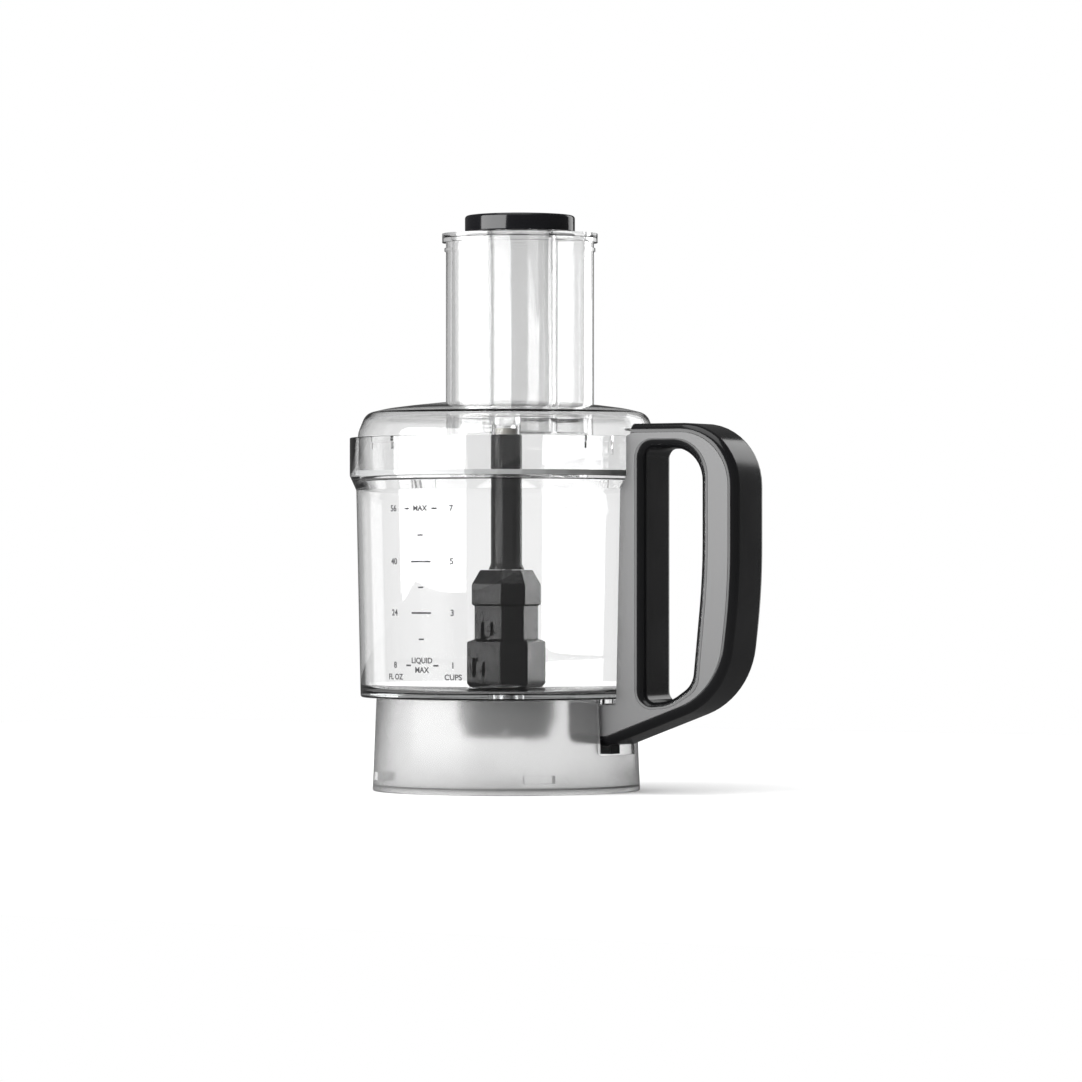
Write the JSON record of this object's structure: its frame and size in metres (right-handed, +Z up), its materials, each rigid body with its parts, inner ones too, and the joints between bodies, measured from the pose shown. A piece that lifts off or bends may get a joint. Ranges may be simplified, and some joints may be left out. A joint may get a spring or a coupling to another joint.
{
  "type": "food processor",
  "caption": "Food-processor bowl on a frosted skirt with a side handle, twist-lock lid, oval feed chute with nested pushers, chopping blade and geared drive unit.",
  "frame": {"origin": "under the middle of the whole object, on the surface it stands on", "axes": "+Z up, +X towards the handle, +Y to the left when seen from behind the handle looking at the bowl from above"},
  "size_m": [0.2234, 0.1628, 0.301],
  "materials": {
    "clear_plastic": "clear",
    "frosted_plastic": "frosted",
    "black_plastic": "gloss",
    "grey_plastic": "satin",
    "dark_plastic": "satin",
    "nylon": "natural",
    "bronze": "sintered",
    "steel": "polished",
    "black_rubber": "matte",
    "silicone": "translucent"
  },
  "bodies": {
    "bowl": {"work_bowl": "clear_plastic", "base_skirt": "frosted_plastic", "gearbox_housing": "dark_plastic", "gearbox_cover": "dark_plastic", "housing_gasket": "black_rubber", "gearbox_screw_1": "steel", "gearbox_screw_2": "steel", "gearbox_screw_3": "steel", "ring_gear": "nylon", "output_bearing": "bronze", "input_bush": "bronze", "upper_bush": "bronze", "shaft_seal": "black_rubber", "handle_body": "black_plastic", "handle_cover_near": "grey_plastic", "handle_cover_far": "grey_plastic", "handle_screw_lower_1": "steel", "handle_screw_lower_2": "steel", "handle_screw_upper": "steel", "interlock_spring": "steel"},
    "lid": {"lid": "clear_plastic", "lid_seal": "silicone", "stem_bearing": "nylon"},
    "interlock": {"interlock_rod": "dark_plastic"},
    "large_pusher": {"large_pusher": "clear_plastic"},
    "small_pusher": {"small_pusher": "clear_plastic", "pusher_cap": "black_plastic"},
    "blade": {"output_shaft": "steel", "planet_pin_1": "steel", "planet_pin_2": "steel", "planet_pin_3": "steel", "blade_hub": "dark_plastic", "lower_blade": "steel", "upper_blade": "steel", "stem": "dark_plastic", "stem_head": "dark_plastic", "stem_spindle": "steel"},
    "input": {"input_shaft": "steel", "drive_coupling": "steel"},
    "planet_1": {"planet_gear_1": "nylon"},
    "planet_2": {"planet_gear_2": "nylon"},
    "planet_3": {"planet_gear_3": "nylon"}
  },
  "joints": [
    {"name": "lid_twist", "type": "hinge", "parent": "bowl", "child": "lid", "pos_m": [-0.0303, 0, 0.18], "axis": [0, 0, 1], "range_deg": [0, 15]},
    {"name": "interlock_slide", "type": "slide", "parent": "bowl", "child": "interlock", "axis": [0, 0, 1], "range_m": [0, 0.002], "deforming": ["interlock_spring"]},
    {"name": "large_pusher_slide", "type": "slide", "parent": "lid", "child": "large_pusher", "axis": [0, 0, 1], "range_m": [0, 0.1]},
    {"name": "small_pusher_slide", "type": "slide", "parent": "large_pusher", "child": "small_pusher", "axis": [0, 0, 1], "range_m": [0, 0.1]},
    {"name": "blade_spin", "type": "hinge", "parent": "bowl", "child": "blade", "pos_m": [-0.0303, 0, 0.07], "axis": [0, 0, 1], "continuous": true},
    {"name": "input_spin", "type": "hinge", "parent": "bowl", "child": "input", "pos_m": [-0.0303, 0, 0.03], "axis": [0, 0, 1], "continuous": true},
    {"name": "planet_1_spin", "type": "hinge", "parent": "blade", "child": "planet_1", "pos_m": [-0.01905, 0, 0.0388], "axis": [0, 0, 1], "continuous": true},
    {"name": "planet_2_spin", "type": "hinge", "parent": "blade", "child": "planet_2", "pos_m": [-0.03592, 0.00974, 0.0388], "axis": [0, 0, 1], "continuous": true},
    {"name": "planet_3_spin", "type": "hinge", "parent": "blade", "child": "planet_3", "pos_m": [-0.03593, -0.00974, 0.0388], "axis": [0, 0, 1], "continuous": true}
  ],
  "couplings": [
    {"joint": "interlock_slide", "follows": "lid_twist", "m_per_rad": 0.0076394},
    {"joint": "input_spin", "follows": "blade_spin", "ratio": 5},
    {"joint": "planet_1_spin", "follows": "blade_spin", "ratio": -2.6667},
    {"joint": "planet_2_spin", "follows": "blade_spin", "ratio": -2.6667},
    {"joint": "planet_3_spin", "follows": "blade_spin", "ratio": -2.6667}
  ]
}
